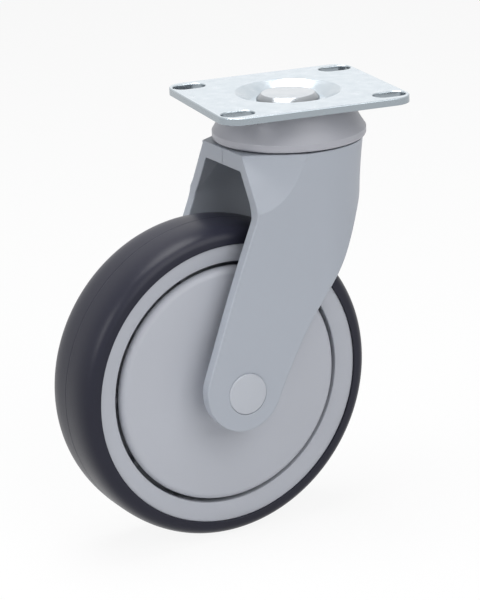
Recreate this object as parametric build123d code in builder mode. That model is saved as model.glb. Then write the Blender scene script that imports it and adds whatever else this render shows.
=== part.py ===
"""Swivel castor with a moulded fork, a 125 mm wheel and a pressed top plate.

Frame, in millimetres: the origin is the centre of the plate's mounting face, on the
swivel axis. +Z points up into whatever the castor carries, +X runs along the plate's
longer side, and the wheel trails behind the swivel axis, towards -X.

The fork, the wheel and all that turns with them are drawn in line with the plate, and
are then turned together by rest_swivel, which is how the castor stands at rest.
"""

import os
from math import asin, atan2, degrees, hypot, sqrt

from build123d import *

# ---------------------------------------------------------------- whole castor
wheel_diameter = 125.0
tread_half_width = 16.0
trail = 38.4  # swivel axis to axle, seen from the side
pin_clearance = 15.41  # the pin's lower end to the tyre, straight below it
rest_swivel = 8.0  # degrees that the fork is turned from the plate at rest

running_gap = 0.05  # between two pieces that turn against each other
fit_gap = 0.02  # between two pieces that are pressed or slid together

# ---------------------------------------------------------------- top plate
plate_length = 77.0
plate_width = 67.0
plate_thickness = 2.8
plate_corner_radius = 8.0
slot_inset = 7.75  # a slot's middle to the nearest edges of the plate
slot_width = 8.5
slot_length = 13.0
dish_rim_radius = 20.5  # the pressing that sinks the pin's head
dish_floor_radius = 14.5
dish_depth = 3.6
plate_bend_round = 1.5
plate_edge_break = 0.3

# ---------------------------------------------------------------- king pin
pin_radius = 6.0
pin_head_radius = 12.2
pin_head_flat_radius = 10.2
pin_head_recess = 0.7  # the head's top stands this far below the mounting face
pin_tail = 1.5  # thread that stands out of the nut
pin_end_chamfer = 1.0
pin_washer_radius = 11.0
pin_washer_thickness = 1.5
pin_nut_across_flats = 18.0
pin_nut_height = 6.5

# ---------------------------------------------------------------- swivel bearing
cover_web_thickness = 1.8
upper_race_thickness = 3.0
upper_race_radius = 22.0
upper_ball_diameter = 5.0
upper_ball_pitch_radius = 17.5
upper_ball_count = 12
groove_depth_share = 0.24  # of a ball's diameter that sits below the edge of its groove
cup_flange_thickness = 3.4
cup_flange_radius = 22.5
cup_sleeve_radius = 12.5
cup_bore_radius = 7.4
cup_length = 13.5  # flange top to the cup's lower end
cup_lip_thickness = 3.0
cup_wall = 2.0
lower_ball_diameter = 4.0
lower_ball_pitch_radius = 9.8
lower_ball_count = 10
lower_race_radius = 12.0
lower_race_thickness = 3.2
cage_thickness = 1.4
cage_width_share = 1.3  # of a ball's diameter
cage_pocket_gap = 0.07

# ---------------------------------------------------------------- dust cover
cover_overhang = 1.3  # how far the cover stands out past the fork's head
cover_neck_radius = 24.6
cover_waist_radius = 26.6
cover_waist_drop = 9.0
cover_wall = 2.4
cover_skirt = 3.0  # height of the upright band at the cover's lower edge
cover_drop = 17.4  # mounting face to the cover's lower edge
cover_edge_radius = 0.9
cover_notch_width = 1.4
cover_notch_depth = 0.6
cover_notch_count = 8
seam_gap = 0.7  # open seam between the cover and the fork

# ---------------------------------------------------------------- fork
fork_wall = 4.5
tyre_side_gap = 8.4  # between the tyre and the fork's inner face, at the axle
head_inset = 0.5  # how much narrower the head is than the legs at the axle
waist_inset = 2.5  # the same, at the narrowest place
waist_drop = 48.0  # mounting face to the waist
leg_spread = 0.6  # how much further apart the legs are below the axle
front_face = 29.6  # swivel axis to the flat face over the wheel
facet_top_half_width = 15.3  # of the front face, at the head's top
facet_foot_half_width = 25.0  # of the front face, lower down
facet_foot_drop = 35.0  # mounting face to that lower place
facet_angle = 30.8  # the facet's level lines, from X
lintel_height = 6.6
front_bend_drop = 34.5  # mounting face to where the upright front edge turns into the leg
front_bend_radius = 24.0
leg_end_radius = 16.0
leg_end_shift = (-1.0, 1.6)  # the rounded end's centre, from the axle (x, z)
rear_lean = 27.0  # degrees from upright at which the rear edge leaves the rounded end
rear_knee = (-4.5, 0.74)  # the leg's curved rear edge: x, and the share of the axle's drop
rear_belly = (8.9, 0.58)
rear_shoulder = (19.6, 0.41)
rear_top = (27.2, 0.30)
profile_margin = 5.0  # how far the side profile runs past the head
head_step_radius = 24.6  # the raised ring that holds the bearing cup's flange
head_step_height = 2.2
bearing_boss_radius = 16.0
bearing_boss_length = 14.0
axle_boss_radius = 12.0

# ---------------------------------------------------------------- axle
axle_radius = 4.0
bolt_head_across_flats = 13.0
bolt_head_height = 4.2
axle_washer_radius = 7.4
axle_washer_thickness = 1.0
axle_nut_height = 4.2
axle_seat_thickness = 2.6  # fork wall under the bolt's head and under the nut
cap_radius = 8.0
cap_thickness = 1.5
cap_crown = 0.5  # how far the cap stands out of the fork
cap_ledge = 0.35
cap_gap = 0.1  # between a cap and the bolt's head or the nut
cap_edge_round = 0.4

# ---------------------------------------------------------------- wheel bearings
ball_bearing_radius = 11.0
ball_bearing_width = 7.0
inner_ring_radius = 6.0
outer_ring_bore_radius = 9.1
wheel_ball_diameter = 3.97
wheel_ball_count = 7
wheel_cage_thickness = 1.9
wheel_cage_half_width = 2.6

# ---------------------------------------------------------------- wheel core
tread_thickness = 6.9
rim_inset = 0.8  # how much narrower the rim is than the tyre, on each side
rim_depth = 7.3
rim_dish = 1.8  # how far the rim's face slopes in
tyre_key_height = 2.0  # ridge of the rim that the tyre is moulded over
tyre_key_inset = 5.2
tyre_key_slant = 1.0
web_half_thickness = 2.4
hub_radius = 16.0
hub_overlap = 0.2  # how far the hub stands out past the bearings
wheel_rib_count = 10
wheel_rib_thickness = 2.2
wheel_rib_gap = 1.5  # between the ribs and the thread guards' edges

# ---------------------------------------------------------------- tyre
tyre_wall_share = 0.23  # of the tread's thickness, where the side wall has its full width
shoulder_share = 0.80  # of the tread's thickness, at a point on the rounded shoulder
shoulder_width_share = 0.79  # of the tread's half width, at that point

# ---------------------------------------------------------------- thread guards
guard_gap = 1.7  # between a guard's edge and the rim
guard_inset = 0.4  # how far a guard's face stands in from the tyre's side
guard_depth = 3.6
guard_edge_round = 2.8
guard_wall = 1.8
guard_stub = 0.6  # how far the guard's middle stands in, against the inner ring
guard_hub_radius = 11.0
guard_stub_radius = 5.9

# ---------------------------------------------------------------- worked out from the above
slot_spacing_x = plate_length - 2 * slot_inset
slot_spacing_y = plate_width - 2 * slot_inset
leg_half_width = tread_half_width + tyre_side_gap + fork_wall
head_radius = leg_half_width - head_inset
waist_radius = leg_half_width - waist_inset
cover_radius = head_radius + cover_overhang
dish_floor = -dish_depth
dish_underside = dish_floor - plate_thickness
web_underside = dish_underside - cover_web_thickness
upper_race_underside = web_underside - upper_race_thickness
upper_ball_radius = upper_ball_diameter / 2
upper_groove_depth = groove_depth_share * upper_ball_diameter
upper_ball_height = upper_race_underside + upper_groove_depth - upper_ball_radius - running_gap
cup_top = upper_ball_height - upper_ball_radius - running_gap + upper_groove_depth
cup_flange_underside = cup_top - cup_flange_thickness
cup_end = cup_top - cup_length
lower_ball_radius = lower_ball_diameter / 2
lower_groove_depth = groove_depth_share * lower_ball_diameter
lower_ball_height = cup_end + lower_groove_depth - lower_ball_radius - running_gap
lower_race_top = lower_ball_height - lower_ball_radius - running_gap + lower_groove_depth
lower_race_underside = lower_race_top - lower_race_thickness
pin_head_top = -pin_head_recess
pin_washer_underside = lower_race_underside - pin_washer_thickness
pin_nut_underside = pin_washer_underside - pin_nut_height
pin_end = pin_nut_underside - pin_tail
tyre_reach = sqrt((wheel_diameter / 2) ** 2 - trail**2)  # the tyre above its axle, at the pin
axle_height = pin_end - pin_clearance - tyre_reach
leg_bottom_drop = wheel_diameter / 2 - axle_height
head_top = -cover_drop - seam_gap
lintel_underside = head_top - lintel_height
leg_end_centre = (-trail + leg_end_shift[0], axle_height + leg_end_shift[1])
rim_radius = wheel_diameter / 2 - tread_thickness
rim_half_width = tread_half_width - rim_inset
rim_inner_radius = rim_radius - rim_depth
rim_inner_half_width = rim_half_width - rim_dish
tyre_key_radius = rim_radius + tyre_key_height
tyre_key_half_width = rim_half_width - tyre_key_inset
guard_radius = rim_inner_radius - guard_gap
guard_face = tread_half_width - guard_inset
guard_edge_half_width = guard_face - guard_depth
wheel_rib_half_width = guard_edge_half_width - wheel_rib_gap
ball_bearing_face = guard_face - guard_wall - guard_stub
hub_half_width = ball_bearing_face + hub_overlap
wheel_ball_radius = wheel_ball_diameter / 2
wheel_ball_pitch_radius = (inner_ring_radius + outer_ring_bore_radius) / 2
bearing_centre = ball_bearing_face - ball_bearing_width / 2
cap_seat = leg_half_width + cap_crown - cap_thickness
axle_seat = cap_seat - cap_gap - bolt_head_height - axle_washer_thickness
hub_half_length = axle_seat - axle_seat_thickness

AXLE = Axis((-trail, 0, axle_height), (0, 1, 0))
SIDES = {"left": 1, "right": -1}  # left is +Y, looking along +X

os.makedirs("parts", exist_ok=True)


def save(builder, name, turned=True):
    """Label a finished piece, turn it to the rest swivel if it goes with the fork, and write it."""
    piece = builder.part.rotate(Axis.Z, rest_swivel) if turned else builder.part
    piece.label = name
    export_step(piece, f"parts/{name}.step")


def axle_plane(y):
    """A sketch plane across the axle at y, whose own x and y run along X and Z."""
    return Plane(origin=(-trail, y, axle_height), x_dir=(1, 0, 0), z_dir=(0, -1, 0))


def wheel_section():
    """The half plane that wheel profiles are drawn in: its x is the radius, its y the axle."""
    return Plane(origin=(-trail, 0, axle_height), x_dir=(1, 0, 0), z_dir=(0, 0, 1))


# ================================================================ pieces on the plate
dish_run = dish_rim_radius - dish_floor_radius
dish_lean = plate_thickness * (hypot(dish_run, dish_depth) - dish_run) / dish_depth

with BuildPart() as top_plate:
    with BuildSketch():
        RectangleRounded(plate_length, plate_width, plate_corner_radius)
        with GridLocations(slot_spacing_x, slot_spacing_y, 2, 2):
            SlotOverall(slot_length, slot_width, mode=Mode.SUBTRACT)
    extrude(amount=-plate_thickness)
    chamfer(top_plate.edges().group_by(Axis.Z)[-1], plate_edge_break)
    with BuildSketch(Plane.XZ):
        with BuildLine():
            Polyline(
                (0, 0),
                (dish_rim_radius, 0),
                (dish_rim_radius + dish_lean, -plate_thickness),
                (dish_floor_radius + dish_lean, dish_underside),
                (0, dish_underside),
                close=True,
            )
        make_face()
    revolve(axis=Axis.Z)
    with BuildSketch(Plane.XZ):
        with BuildLine():
            Polyline(
                (0, 0),
                (dish_rim_radius, 0),
                (dish_floor_radius, dish_floor),
                (0, dish_floor),
                close=True,
            )
        make_face()
    revolve(axis=Axis.Z, mode=Mode.SUBTRACT)
    with Locations((0, 0, dish_floor)):
        Hole(pin_radius + fit_gap)
    dish_edge = top_plate.edges().filter_by(GeomType.CIRCLE).filter_by(
        lambda edge: abs(edge.radius - dish_rim_radius) < 0.01
    )
    fillet(dish_edge, plate_bend_round)
save(top_plate, "top_plate", turned=False)

with BuildPart() as king_pin:
    with BuildSketch(Plane.XZ):
        with BuildLine():
            Polyline(
                (0, pin_head_top),
                (pin_head_flat_radius, pin_head_top),
                (pin_head_radius, pin_head_top - pin_head_radius + pin_head_flat_radius),
                (pin_head_radius, dish_floor),
                (pin_radius, dish_floor),
                (pin_radius, pin_end + pin_end_chamfer),
                (pin_radius - pin_end_chamfer, pin_end),
                (0, pin_end),
                close=True,
            )
        make_face()
    revolve(axis=Axis.Z)
save(king_pin, "king_pin", turned=False)

with BuildPart() as dust_cover:
    with BuildSketch(Plane.XZ):
        with BuildLine():
            neck = Spline(
                (cover_neck_radius, -plate_thickness),
                (cover_waist_radius, -cover_waist_drop),
                (cover_radius, -cover_drop + cover_skirt),
                tangents=[(0.2, -1), (0.25, -1)],
            )
            band = Line(neck @ 1, (cover_radius, -cover_drop + cover_edge_radius))
            edge = JernArc(band @ 1, (0, -1), cover_edge_radius, -90)
            Polyline(
                edge @ 1,
                (cover_radius - cover_wall, -cover_drop),
                (cover_radius - cover_wall, cup_top + 1),
                (upper_race_radius + 1, web_underside),
                (pin_radius + fit_gap, web_underside),
                (pin_radius + fit_gap, dish_underside),
                (dish_floor_radius + dish_lean + fit_gap, dish_underside),
                (dish_rim_radius + dish_lean + fit_gap, -plate_thickness),
                neck @ 0,
            )
        make_face()
    revolve(axis=Axis.Z)
save(dust_cover, "dust_cover", turned=False)


def race(radius, bore_radius, top, thickness, pitch_radius, ball_radius, ball_height):
    """A flat ring whose groove takes a row of balls that stands at ball_height."""
    with BuildPart() as ring:
        with Locations((0, 0, top)):
            Cylinder(radius, thickness, align=(Align.CENTER, Align.CENTER, Align.MAX))
            Cylinder(
                bore_radius,
                thickness,
                align=(Align.CENTER, Align.CENTER, Align.MAX),
                mode=Mode.SUBTRACT,
            )
        with Locations((0, 0, ball_height)):
            Torus(pitch_radius, ball_radius + running_gap, mode=Mode.SUBTRACT)
    return ring


upper_race = race(
    upper_race_radius,
    pin_radius + fit_gap,
    web_underside,
    upper_race_thickness,
    upper_ball_pitch_radius,
    upper_ball_radius,
    upper_ball_height,
)
save(upper_race, "upper_race", turned=False)

lower_race = race(
    lower_race_radius,
    pin_radius + fit_gap,
    lower_race_top,
    lower_race_thickness,
    lower_ball_pitch_radius,
    lower_ball_radius,
    lower_ball_height,
)
save(lower_race, "lower_race", turned=False)

with BuildPart() as king_pin_washer:
    with BuildSketch(Plane.XY.offset(lower_race_underside)):
        Circle(pin_washer_radius)
        Circle(pin_radius + fit_gap, mode=Mode.SUBTRACT)
    extrude(amount=-pin_washer_thickness)
save(king_pin_washer, "king_pin_washer", turned=False)

with BuildPart() as king_pin_nut:
    with BuildSketch(Plane.XY.offset(pin_washer_underside)):
        RegularPolygon(pin_nut_across_flats / 2, 6, major_radius=False)
        Circle(pin_radius + fit_gap, mode=Mode.SUBTRACT)
    extrude(amount=-pin_nut_height)
save(king_pin_nut, "king_pin_nut", turned=False)

# ================================================================ the swivel's turning cup
with BuildPart() as bearing_cup:
    with BuildSketch(Plane.XZ):
        with BuildLine():
            Polyline(
                (cup_sleeve_radius - cup_wall, cup_top),
                (cup_flange_radius, cup_top),
                (cup_flange_radius, cup_flange_underside),
                (cup_sleeve_radius, cup_flange_underside),
                (cup_sleeve_radius, cup_end),
                (cup_bore_radius, cup_end),
                (cup_bore_radius, cup_end + cup_lip_thickness),
                (cup_sleeve_radius - cup_wall, cup_end + cup_lip_thickness),
                close=True,
            )
        make_face()
    revolve(axis=Axis.Z)
    with Locations((0, 0, upper_ball_height)):
        Torus(upper_ball_pitch_radius, upper_ball_radius + running_gap, mode=Mode.SUBTRACT)
    with Locations((0, 0, lower_ball_height)):
        Torus(lower_ball_pitch_radius, lower_ball_radius + running_gap, mode=Mode.SUBTRACT)
save(bearing_cup, "bearing_cup")


def swivel_row(count, pitch_radius, ball_radius, height):
    """The balls of one row of the swivel bearing, and the flat cage that spaces them."""
    with BuildPart() as balls:
        with Locations((0, 0, height)):
            with PolarLocations(pitch_radius, count):
                Sphere(ball_radius)
    with BuildPart() as cage:
        with Locations((0, 0, height)):
            Cylinder(pitch_radius + cage_width_share * ball_radius, cage_thickness)
            Cylinder(
                pitch_radius - cage_width_share * ball_radius, cage_thickness, mode=Mode.SUBTRACT
            )
            with PolarLocations(pitch_radius, count):
                Cylinder(ball_radius + cage_pocket_gap, cage_thickness, mode=Mode.SUBTRACT)
    return balls, cage


upper_balls, upper_cage = swivel_row(
    upper_ball_count, upper_ball_pitch_radius, upper_ball_radius, upper_ball_height
)
lower_balls, lower_cage = swivel_row(
    lower_ball_count, lower_ball_pitch_radius, lower_ball_radius, lower_ball_height
)
save(upper_balls, "upper_balls")
save(upper_cage, "upper_cage")
save(lower_balls, "lower_balls")
save(lower_cage, "lower_cage")


# ================================================================ fork
def waisted_body(wall):
    """The fork's outer form for wall 0, or the form inside its walls for a thicker wall.

    It is round behind and straight-sided in front, with the same waisted profile all round.
    """
    with BuildPart() as form:
        with BuildSketch(Plane.YZ) as half_section:
            with BuildLine():
                flank = Spline(
                    (head_radius - wall, head_top),
                    (waist_radius - wall, -waist_drop),
                    (leg_half_width - wall, axle_height),
                    (leg_half_width + leg_spread - wall, -leg_bottom_drop),
                )
                Polyline(flank @ 1, (0, -leg_bottom_drop), (0, head_top), flank @ 0)
            make_face()
        revolve(axis=Axis.Z)
        extrude(half_section.sketch, amount=-wheel_diameter)
        mirror(about=Plane.XZ)
    return form


outer_form = waisted_body(0)


def trim_facets(inset):
    """Cut both front corners of the form being built back to the facets, moved in by inset."""
    for side in SIDES.values():
        corner = Vector(-front_face, side * facet_top_half_width, head_top)
        foot = Vector(-front_face, side * facet_foot_half_width, -facet_foot_drop)
        level = Vector(1, 0, 0).rotate(Axis.Z, side * facet_angle)
        outward = (level.cross(foot - corner) * side).normalized()
        facet = Plane(origin=corner - outward * inset, x_dir=level, z_dir=outward)
        with BuildSketch(facet) as beyond:
            Rectangle(4 * front_face, 4 * front_face)
        extrude(beyond.sketch, amount=2 * front_face, mode=Mode.SUBTRACT)


with BuildPart() as cavity:
    add(waisted_body(fork_wall).part)
    split(bisect_by=Plane.XY.offset(lintel_underside), keep=Keep.BOTTOM)
    trim_facets(fork_wall)

with BuildPart() as fork:
    with BuildSketch(Plane.XZ):
        with BuildLine():
            rear_points = [rear_knee, rear_belly, rear_shoulder, rear_top]
            bend_centre = (-front_face - front_bend_radius, -front_bend_drop)
            reach = Vector(*leg_end_centre) - Vector(*bend_centre)
            turn = asin((front_bend_radius + leg_end_radius) / reach.length)
            leg_lean = -90 - degrees(atan2(reach.Y, reach.X)) + degrees(turn)
            upright = Line((-front_face, head_top), (-front_face, -front_bend_drop))
            bend = JernArc(upright @ 1, (0, -1), front_bend_radius, -leg_lean)
            to_edge = Vector(-leg_end_radius, 0).rotate(Axis.Z, -leg_lean)
            front_edge = Line(bend @ 1, Vector(*leg_end_centre) + to_edge)
            end_turn = 180 - rear_lean + leg_lean
            end = JernArc(front_edge @ 1, front_edge % 1, leg_end_radius, end_turn)
            rear_edge = Spline(
                end @ 1,
                *((x, axle_height * share) for x, share in rear_points),
                tangents=[end % 1, (0.35, 1)],
            )
            Polyline(
                rear_edge @ 1,
                (head_radius + profile_margin, lintel_underside),
                (head_radius + profile_margin, head_top),
                (-front_face, head_top),
            )
        make_face()
    extrude(amount=head_radius + profile_margin, both=True)
    add(outer_form.part, mode=Mode.INTERSECT)
    trim_facets(0)
    add(cavity.part, mode=Mode.SUBTRACT)
    with Locations((0, 0, lintel_underside + fit_gap)):
        Cylinder(
            bearing_boss_radius,
            bearing_boss_length - lintel_height,
            align=(Align.CENTER, Align.CENTER, Align.MAX),
        )
    with Locations((0, 0, head_top)):
        Cylinder(
            head_step_radius,
            head_step_height,
            align=(Align.CENTER, Align.CENTER, Align.MIN),
        )
    with Locations((0, 0, head_top + head_step_height)):
        CounterBoreHole(
            cup_sleeve_radius + fit_gap,
            cup_flange_radius + fit_gap,
            head_top + head_step_height - cup_flange_underside,
            depth=bearing_boss_length + head_step_height + 1,
        )
    for side in SIDES.values():
        with BuildSketch(axle_plane(side * hub_half_length)):
            Circle(axle_boss_radius)
        extrude(amount=-side * (leg_half_width - fork_wall / 2 - hub_half_length))
        with BuildSketch(axle_plane(side * axle_seat)):
            Circle(cap_radius - cap_ledge)
        extrude(amount=-side * leg_half_width, mode=Mode.SUBTRACT)
        with BuildSketch(axle_plane(side * cap_seat)):
            Circle(cap_radius + fit_gap)
        extrude(amount=-side * leg_half_width, mode=Mode.SUBTRACT)
    with BuildSketch(axle_plane(0)):
        Circle(axle_radius + fit_gap)
    extrude(amount=leg_half_width, both=True, mode=Mode.SUBTRACT)
save(fork, "fork")


def axle_disc(radius, start, end, bore_radius=0, side=1):
    """A disc or ring on the axle's line between two distances from the castor's middle."""
    with BuildPart() as disc:
        with BuildSketch(axle_plane(side * start)):
            Circle(radius)
            if bore_radius:
                Circle(bore_radius, mode=Mode.SUBTRACT)
        extrude(amount=-side * (end - start))
    return disc


# ================================================================ axle
axle_clear = axle_radius + fit_gap
washer_face = axle_seat + axle_washer_thickness

with BuildPart() as axle_bolt:
    with BuildSketch(axle_plane(-washer_face)):
        RegularPolygon(bolt_head_across_flats / 2, 6, major_radius=False)
    extrude(amount=bolt_head_height)
    with BuildSketch(axle_plane(-washer_face)):
        Circle(axle_radius)
    extrude(amount=-(2 * washer_face + axle_nut_height))
save(axle_bolt, "axle_bolt")

with BuildPart() as axle_nut:
    with BuildSketch(axle_plane(washer_face)):
        RegularPolygon(bolt_head_across_flats / 2, 6, major_radius=False)
        Circle(axle_clear, mode=Mode.SUBTRACT)
    extrude(amount=-axle_nut_height)
save(axle_nut, "axle_nut")

bearing_inside = ball_bearing_face - ball_bearing_width
axle_sleeve = axle_disc(guard_stub_radius, -bearing_inside, bearing_inside, axle_clear)
save(axle_sleeve, "axle_sleeve")

for name, side in SIDES.items():
    axle_washer = axle_disc(axle_washer_radius, axle_seat, washer_face, axle_clear, side)
    save(axle_washer, f"axle_washer_{name}")

    axle_cap = axle_disc(cap_radius, cap_seat, cap_seat + cap_thickness, side=side)
    with axle_cap:
        cap_rim = axle_cap.faces().sort_by(Axis.Y)[-1 if side > 0 else 0].edges()
        fillet(cap_rim, cap_edge_round)
    save(axle_cap, f"axle_cap_{name}")

    # -------------------------------------------------------- thread guard
    with BuildPart() as thread_guard:
        with BuildSketch(wheel_section()):
            with BuildLine():
                inner_face = guard_face - guard_wall
                rim_face = Line(
                    (guard_hub_radius, guard_face),
                    (guard_radius - guard_edge_round, guard_face),
                )
                rim_turn = JernArc(rim_face @ 1, (1, 0), guard_edge_round, -90)
                Polyline(
                    rim_turn @ 1,
                    (guard_radius, guard_edge_half_width),
                    (guard_radius - guard_wall, guard_edge_half_width),
                    (guard_radius - guard_wall, inner_face - guard_wall / 2),
                    (guard_radius - 3 * guard_wall / 2, inner_face),
                    (guard_stub_radius, inner_face),
                    (guard_stub_radius, ball_bearing_face),
                    (axle_clear, ball_bearing_face),
                    (axle_clear, hub_half_length),
                    (guard_hub_radius, hub_half_length),
                    rim_face @ 0,
                )
            make_face()
            if side < 0:
                mirror(about=Plane.XZ, mode=Mode.REPLACE)
        revolve(axis=AXLE)
    save(thread_guard, f"thread_guard_{name}")

    # -------------------------------------------------------- ball bearing
    with BuildPart() as bearing_inner:
        add(
            axle_disc(
                inner_ring_radius, bearing_inside, ball_bearing_face, axle_clear, side
            ).part
        )
        with Locations(axle_plane(side * bearing_centre)):
            Torus(wheel_ball_pitch_radius, wheel_ball_radius + running_gap, mode=Mode.SUBTRACT)
    save(bearing_inner, f"bearing_inner_{name}")

    with BuildPart() as bearing_outer:
        add(
            axle_disc(
                ball_bearing_radius,
                bearing_inside,
                ball_bearing_face,
                outer_ring_bore_radius,
                side,
            ).part
        )
        with Locations(axle_plane(side * bearing_centre)):
            Torus(wheel_ball_pitch_radius, wheel_ball_radius + running_gap, mode=Mode.SUBTRACT)
    save(bearing_outer, f"bearing_outer_{name}")

    with BuildPart() as wheel_balls:
        with Locations(axle_plane(side * bearing_centre)):
            with PolarLocations(wheel_ball_pitch_radius, wheel_ball_count):
                Sphere(wheel_ball_radius)
    save(wheel_balls, f"wheel_balls_{name}")

    with BuildPart() as wheel_cage:
        add(
            axle_disc(
                wheel_ball_pitch_radius + wheel_cage_thickness / 2,
                bearing_centre - wheel_cage_half_width,
                bearing_centre + wheel_cage_half_width,
                wheel_ball_pitch_radius - wheel_cage_thickness / 2,
                side,
            ).part
        )
        with Locations(axle_plane(side * bearing_centre)):
            with PolarLocations(wheel_ball_pitch_radius, wheel_ball_count):
                Cylinder(
                    wheel_ball_radius + cage_pocket_gap,
                    2 * wheel_cage_thickness,
                    rotation=(0, 90, 0),
                    mode=Mode.SUBTRACT,
                )
    save(wheel_cage, f"wheel_cage_{name}")

# ================================================================ wheel
rim_seat = [
    (rim_radius, rim_half_width),
    (rim_radius, tyre_key_half_width),
    (tyre_key_radius, tyre_key_half_width - tyre_key_slant),
    (tyre_key_radius, 0),
]

with BuildPart() as wheel_core:
    with BuildSketch(wheel_section()):
        with BuildLine():
            Polyline(
                (outer_ring_bore_radius, 0),
                (outer_ring_bore_radius, bearing_inside),
                (ball_bearing_radius + fit_gap, bearing_inside),
                (ball_bearing_radius + fit_gap, hub_half_width),
                (hub_radius, hub_half_width),
                (hub_radius, web_half_thickness),
                (rim_inner_radius, web_half_thickness),
                (rim_inner_radius, rim_inner_half_width),
                *rim_seat,
                close=True,
            )
        make_face()
        mirror(about=Plane.XZ)
    revolve(axis=AXLE)
    with BuildSketch(axle_plane(0)):
        with PolarLocations((hub_radius + rim_inner_radius) / 2, wheel_rib_count):
            Rectangle(rim_inner_radius - hub_radius + 2, wheel_rib_thickness)
    extrude(amount=wheel_rib_half_width, both=True)
save(wheel_core, "wheel_core")

with BuildPart() as tyre:
    with BuildSketch(wheel_section()):
        with BuildLine():
            wall = Line(
                (rim_radius, rim_half_width),
                (rim_radius + tyre_wall_share * tread_thickness, tread_half_width),
            )
            crown = Spline(
                wall @ 1,
                (
                    rim_radius + shoulder_share * tread_thickness,
                    shoulder_width_share * tread_half_width,
                ),
                (wheel_diameter / 2, 0),
                tangents=[(1, 0), (0, -1)],
            )
            Polyline(crown @ 1, *reversed(rim_seat))
        make_face()
        mirror(about=Plane.XZ)
    revolve(axis=AXLE)
save(tyre, "tyre")
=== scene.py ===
"""Dresses the swivel castor: its plate, dust cover, fork, wheel and tyre, with their finishes.

Metres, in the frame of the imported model: the origin is the centre of the plate's mounting
face, +Z points up and the wheel trails towards -X, turned by the rest swivel.
"""

import logging
import math
from collections.abc import Callable
from dataclasses import dataclass, field
from enum import Enum

import bmesh
import bpy
from mathutils import Matrix, Vector

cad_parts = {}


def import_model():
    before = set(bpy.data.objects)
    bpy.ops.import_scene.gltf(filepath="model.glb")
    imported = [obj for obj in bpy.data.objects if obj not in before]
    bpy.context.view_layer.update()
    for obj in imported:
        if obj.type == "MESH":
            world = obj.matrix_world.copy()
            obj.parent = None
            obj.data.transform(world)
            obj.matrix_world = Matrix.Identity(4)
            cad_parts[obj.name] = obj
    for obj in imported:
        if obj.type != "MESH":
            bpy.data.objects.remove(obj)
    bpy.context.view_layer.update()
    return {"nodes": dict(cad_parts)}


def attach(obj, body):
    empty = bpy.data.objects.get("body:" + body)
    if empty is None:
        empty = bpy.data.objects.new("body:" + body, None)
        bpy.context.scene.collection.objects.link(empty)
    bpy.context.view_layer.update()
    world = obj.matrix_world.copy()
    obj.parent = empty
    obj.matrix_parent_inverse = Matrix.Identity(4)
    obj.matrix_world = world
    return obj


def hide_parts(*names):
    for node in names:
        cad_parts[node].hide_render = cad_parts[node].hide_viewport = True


log = logging.getLogger("castor")

MM = 0.001
REST_SWIVEL = math.radians(8.0)
TRAIL = 38.4 * MM
AXLE_HEIGHT = -107.0 * MM
FLOOR_HEIGHT = -169.5 * MM
WELD = 1e-6

# How every finish reads its masks: the noise that counts as cloud, the normal's height from a
# flat top to a side face for the painted shade, and how much lighter an edge is painted as a
# highlight.
CLOUD_RANGE = (0.3, 0.7)
SHADE_FACING_RANGE = (0.985, 0.6)
HIGHLIGHT_RANGE = (0.995, 0.85)
HIGHLIGHT_GAIN = 1.35
ROUNDING_SAMPLES = 6

Point = tuple[float, float]
Spot = tuple[float, float, float]
Colour = tuple[float, float, float]
Solids = dict[str, bpy.types.Object]
Materials = dict[str, bpy.types.Material]


class Line(Enum):
    """The two lines that the castor's round pieces are turned about."""

    SWIVEL = "swivel"
    AXLE = "axle"


class Side(Enum):
    """The two sides of the wheel, as the sign of the distance along the axle."""

    LEFT = 1
    RIGHT = -1


def wheel_centre() -> Vector:
    """The middle of the wheel, with the fork at its rest swivel."""
    return Matrix.Rotation(REST_SWIVEL, 3, "Z") @ Vector((-TRAIL, 0, AXLE_HEIGHT))


def place(line: Line) -> Matrix:
    """The transform from a line's own upright frame to the castor's frame.

    Args:
        line: the swivel line, or the axle's line.

    Returns:
        A matrix that carries local Z to the line, with the origin on the castor's middle.
    """
    turn = Matrix.Rotation(REST_SWIVEL, 4, "Z")
    if line is Line.SWIVEL:
        return turn
    tip = Matrix.Rotation(-math.pi / 2, 4, "X")
    return turn @ Matrix.Translation((-TRAIL, 0, AXLE_HEIGHT)) @ tip


# ------------------------------------------------------------------ shader boards and groups
class Board:
    """A node tree, with short ways to add nodes to it and to join them."""

    def __init__(self, tree: bpy.types.NodeTree) -> None:
        """Keep the tree.

        Args:
            tree: the node tree to work on.
        """
        self.tree = tree

    def add(
        self,
        kind: str,
        values: dict[str | int, object] | None = None,
        **settings: object,
    ) -> bpy.types.Node:
        """Add one node.

        Args:
            kind: the node's type, without its ShaderNode prefix.
            values: what its inputs are set to, by name or by place.
            settings: properties of the node to set.

        Returns:
            The new node.
        """
        node = self.tree.nodes.new("ShaderNode" + kind)
        for name, value in settings.items():
            setattr(node, name, value)
        for socket, value in (values or {}).items():
            node.inputs[socket].default_value = value
        return node

    def link(self, start: bpy.types.NodeSocket, end: bpy.types.NodeSocket) -> None:
        """Join two sockets of the tree."""
        self.tree.links.new(start, end)


class Group(Board):
    """A shader node group with named sockets, built once."""

    def __init__(self, name: str, inputs: dict[str, float], outputs: list[str]) -> None:
        """Make the group's sockets.

        Args:
            name: the group's name.
            inputs: each number that the group takes, with its usual value.
            outputs: each number that the group gives.
        """
        super().__init__(bpy.data.node_groups.new(name, "ShaderNodeTree"))
        for socket, value in inputs.items():
            self.socket(socket, "INPUT", "Float").default_value = value
        for socket in outputs:
            self.socket(socket, "OUTPUT", "Float")
        self.source = self.tree.nodes.new("NodeGroupInput")
        self.sink = self.tree.nodes.new("NodeGroupOutput")

    def socket(self, name: str, way: str, kind: str) -> bpy.types.NodeTreeInterfaceSocket:
        """Make one of the group's own sockets.

        Args:
            name: the socket's name.
            way: INPUT or OUTPUT.
            kind: the socket's type, without its NodeSocket prefix.

        Returns:
            The new socket.
        """
        return self.tree.interface.new_socket(name, in_out=way, socket_type="NodeSocket" + kind)


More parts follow.
